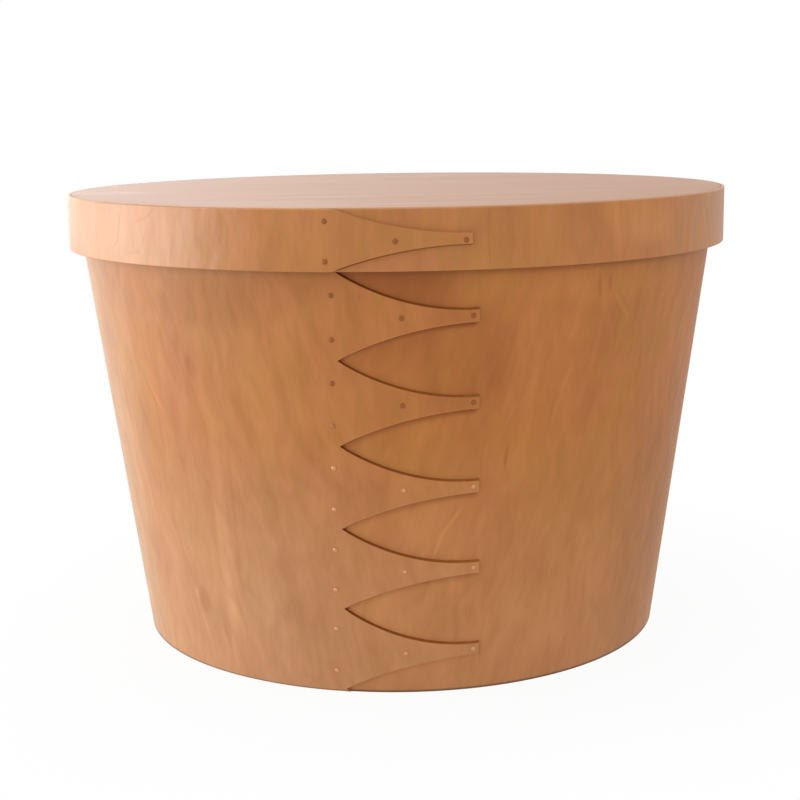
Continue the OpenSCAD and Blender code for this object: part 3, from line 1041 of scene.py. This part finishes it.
# Base board: sawn and left bare. It gives a long figure, pale and dry
base_wood = wood(
    "bare_base_board", board_grain, ("#bd8c5e", "#ba845c"), rough=0.62, shine=0.25, relief=0.2 * MM,
)
edge_wood = toasted_edge()
copper = aged_copper()


# Edges of the wall in the flat pattern
def foot_edge(x):
    return wall.pattern_height(x, FOOT_LIFT)


def rim_edge(x):
    return wall.pattern_height(x, RIM_Z)


def sliver_end():
    """Where the lowest gap runs out of the foot edge."""
    low, high = -ROOT_X, TIP_X
    for step in range(HALVINGS):
        middle = (low + high) / 2
        if gap_bottom(middle, 0) > foot_edge(middle):
            low = middle
        else:
            high = middle
    return low


def finger(n):
    """Finger n of the wall, counted from the foot."""
    lower_toast = TOAST_SLIGHT if n == 0 else TOAST_LOWER + TOAST_CLIMB * n
    return Tongue(
        ROWS_FINGER, TIP_X, lambda x: gap_top(x, n), lambda x: gap_bottom(x, n + 1),
        toast=(lower_toast, TOAST_DEEP), slant=(SLANT, SLANT),
    )


# Wall strip: the sliver at the foot, the fingers, and the half finger that the lid covers
tongues = [Tongue(ROWS_SLIVER, sliver_end(), foot_edge, lambda x: gap_bottom(x, 0))]
tongues += [finger(n) for n in range(FINGERS)]
tongues.append(Tongue(
    ROWS_HALF, TIP_X, lambda x: gap_top(x, FINGERS), rim_edge, toast=(TOAST_DEEP, 0), slant=(SLANT, 0),
))
even_faces(show(
    "wall_strip", strip_mesh("wall_strip", wall, tongues, EDGE_SOFT), "box", ["body_band"],
    [wall_wood, inner_wood, edge_wood],
))

# Lid rim strip
lid_tongue = Tongue(
    ROWS_LID, LID_TIP_X,
    lambda x: arc(x, LID_ROOT_X, LID_TIP_X, LID_LOW, LID_RISE),
    lambda x: arc(x, LID_ROOT_X, LID_TIP_X, TOP, -LID_RISE),
    toast=(TOAST_DEEP, TOAST_SLIGHT), slant=(SLANT, SLANT / 2),
)
even_faces(show(
    "lid_strip", strip_mesh("lid_strip", rim, [lid_tongue], TOP_SOFT), "lid", ["lid_band"],
    [rim_wood, inner_wood, edge_wood],
))

# Boards keep their solids
for node, material in (("lid_board", lid_top_wood), ("base_board", base_wood)):
    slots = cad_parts[node].data.materials
    slots.clear()
    slots.append(material)

# Tacks: two at each root, one in the middle and one at the tip of each finger
wall_grip = 2 * WALL_T * math.cos(LEAN)
lid_grip = 2 * LID_T
rim_w = RIM_Z / math.cos(LEAN)
hidden_mid_w = (rim_w + root_w(FINGERS) + ARC_AT_MIDDLE * (PITCH - TIP_W) / 2) / 2
hidden_tip_w = (rim_w + tip_w(FINGERS) - TIP_W / 2) / 2
tip_rows = [tip_w(n) for n in range(FINGERS)]
root_rows = [root_w(n) + PITCH / 4 for n in range(FINGERS + 1)]
root_rows += [root_w(n) - PITCH / 4 for n in range(1, FINGERS + 1)]
root_places = [
    on_wall(ROOT_TACK_LEAN * w / ROOT_TOP - ROOT_TACK_X, w - ROOT_TACK_DROP) for w in root_rows
]
mid_places = [on_wall(MID_TACK_X, w) for w in tip_rows + [hidden_mid_w]]
tip_places = [on_wall(TIP_X - TIP_TACK_IN, w) for w in tip_rows + [hidden_tip_w]]
lid_root_places = [on_lid(-LID_ROOT_TACK_X, LID_TACK_ROW + s * LID_ROOT_TACK_Z) for s in (-1, 1)]
lid_mid_place = on_lid(LID_MID_TACK_X, LID_TACK_ROW)
lid_tip_place = on_lid(LID_TIP_X - TIP_TACK_IN, LID_TACK_ROW)
for name, node, places, grip, body in (
    ("wall_root_tacks", "body_root_tacks", root_places, wall_grip, "box"),
    ("wall_middle_tacks", "body_mid_tacks", mid_places, wall_grip, "box"),
    ("wall_tip_tacks", "body_tip_tacks", tip_places, wall_grip, "box"),
    ("rim_root_tacks", "lid_root_tacks", lid_root_places, lid_grip, "lid"),
    ("rim_middle_tack", "lid_mid_tack", [lid_mid_place], lid_grip, "lid"),
    ("rim_tip_tack", "lid_tip_tack", [lid_tip_place], lid_grip, "lid"),
):
    show(name, tack_mesh(name, places, grip), body, [node], [copper])

# Floor, light and camera
WHITE = (1, 1, 1, 1)
# Floor: half size, drop under the foot, grey, faint shadow and where that ends
FLOOR_HALF = 6.0
FLOOR_DROP = 0.02 * MM
FLOOR_GREY = (0.85, 0.85, 0.85, 1)
FLOOR_SHADOW = 0.07
SHADOW_END = 0.42
# Light from all round, and from where and how much it is dimmer on the right
AMBIENT = 1.05
SHADE_FROM = 0.25
SHADE = 0.52
# Power with which a lamp dims towards a side
LAMP_FALL = 2.0
# Camera of the photograph
CAMERA_AT = Vector((0, -967.5, 319.5)) * MM
CAMERA_PITCH = 10.83 * DEGREE
CAMERA_ROLL = -0.79 * DEGREE
LENS, SENSOR = 69.2, 36.0


def seen_ray(tree):
    """1 where the camera sees the background, straight or in a shiny or clear surface."""
    path = add(tree, "LightPath", {})
    seen = path.outputs["Is Camera Ray"]
    for ray in ("Is Glossy Ray", "Is Transmission Ray"):
        seen = add(tree, "Math", {0: seen, 1: path.outputs[ray]}, operation="MAXIMUM")
    return seen


def floor_material():
    """Matt white paper, lit from all round. It gives an even white with a faint shadow at the foot."""
    material, tree = new_material("matt_white_paper")
    paper = add(tree, "BsdfDiffuse", {"Color": FLOOR_GREY})
    glow = add(tree, "Emission", {"Color": WHITE, "Strength": 1.0})
    own = add(tree, "TexCoord", {}).outputs["Object"]
    away = add(tree, "VectorMath", {0: own}, operation="LENGTH").outputs["Value"]
    plain = add(tree, "MapRange", {"Value": away, "From Min": FOOT_R, "From Max": SHADOW_END,
                                   "To Min": 1 - FLOOR_SHADOW, "To Max": 1.0}, **SMOOTH)
    share = add(tree, "Math", {0: seen_ray(tree), 1: plain}, operation="MULTIPLY")
    both = add(tree, "MixShader", {0: share, 1: paper, 2: glow})
    add(tree, "OutputMaterial", {"Surface": both})
    return material


def soft_lamp(name, at, target, width, height, watts, gloss, ends=(1.0, 1.0)):
    """A flat lamp that shows in gloss or lights colour. ends is its brightness at its two sides."""
    lamp = bpy.data.lights.new(name, "AREA")
    lamp.shape = "RECTANGLE"
    lamp.size, lamp.size_y = width, height
    lamp.energy = watts
    lamp.use_nodes = True
    tree = lamp.node_tree
    tree.nodes.clear()
    across = add(tree, "SeparateXYZ", {"Vector": add(tree, "NewGeometry", {}).outputs["Parametric"]})
    level = add(tree, "MapRange", {"Value": across.outputs["X"], "To Min": ends[0], "To Max": ends[1]})
    level = add(tree, "Math", {0: level, 1: LAMP_FALL}, operation="POWER")
    light = add(tree, "Emission", {"Color": WHITE, "Strength": level})
    add(tree, "OutputLight", {"Surface": light})
    lamp_object = bpy.data.objects.new(name, lamp)
    lamp_object.location = at
    lamp_object.rotation_euler = (Vector(target) - Vector(at)).to_track_quat("-Z", "Y").to_euler()
    lamp_object.visible_camera = False
    lamp_object.visible_glossy = gloss
    lamp_object.visible_diffuse = not gloss
    bpy.context.scene.collection.objects.link(lamp_object)


bm = bmesh.new()
bmesh.ops.create_grid(bm, x_segments=1, y_segments=1, size=FLOOR_HALF)
bmesh.ops.translate(bm, vec=(0, 0, -FLOOR_DROP), verts=bm.verts[:])
floor_mesh = bpy.data.meshes.new("floor")
bm.to_mesh(floor_mesh)
bm.free()
floor = bpy.data.objects.new("floor", floor_mesh)
bpy.context.scene.collection.objects.link(floor)
floor_mesh.materials.append(floor_material())

world = bpy.data.worlds.new("white_studio")
bpy.context.scene.world = world
world.use_nodes = True
tree = world.node_tree
tree.nodes.clear()
way = add(tree, "SeparateXYZ", {"Vector": add(tree, "TexCoord", {}).outputs["Generated"]})
level = add(tree, "MapRange", {"Value": way.outputs["X"], "From Min": SHADE_FROM, "To Min": AMBIENT,
                               "To Max": AMBIENT * SHADE})
level = add(tree, "Mix", {0: seen_ray(tree), 2: level, 3: 1.0}, data_type="FLOAT")
dome = add(tree, "Background", {"Color": WHITE, "Strength": level})
add(tree, "OutputWorld", {"Surface": dome})

# A window that lights the left side, and bright surfaces that show in the varnish
soft_lamp("window_left", (-1.3, 0.15, 0.32), (0, 0, 0.2), 0.5, 0.6, watts=8.7, gloss=False)
soft_lamp("reflector_left", (-1.3, -0.25, 0.2), (0, -0.25, 0.2), 1.05, 0.36, watts=11.3, gloss=True)
soft_lamp("reflector_side", (-1.3, 0.7, 0.2), (0, 0.7, 0.2), 0.85, 0.36, watts=3.7, gloss=True)
soft_lamp("reflector_back", (-0.475, 2.0, 0.65), (-0.475, 0, 0.65), 2.45, 1.2, watts=36.0, gloss=True,
          ends=(0.0, 1.0))

camera_data = bpy.data.cameras.new("camera")
camera_data.lens, camera_data.sensor_width = LENS, SENSOR
camera = bpy.data.objects.new("camera", camera_data)
bpy.context.scene.collection.objects.link(camera)
camera.matrix_world = (
    Matrix.Translation(CAMERA_AT)
    @ Matrix.Rotation(math.pi / 2 - CAMERA_PITCH, 4, "X")
    @ Matrix.Rotation(CAMERA_ROLL, 4, "Z")
)
bpy.context.scene.camera = camera
bpy.context.scene.view_settings.view_transform = "Standard"
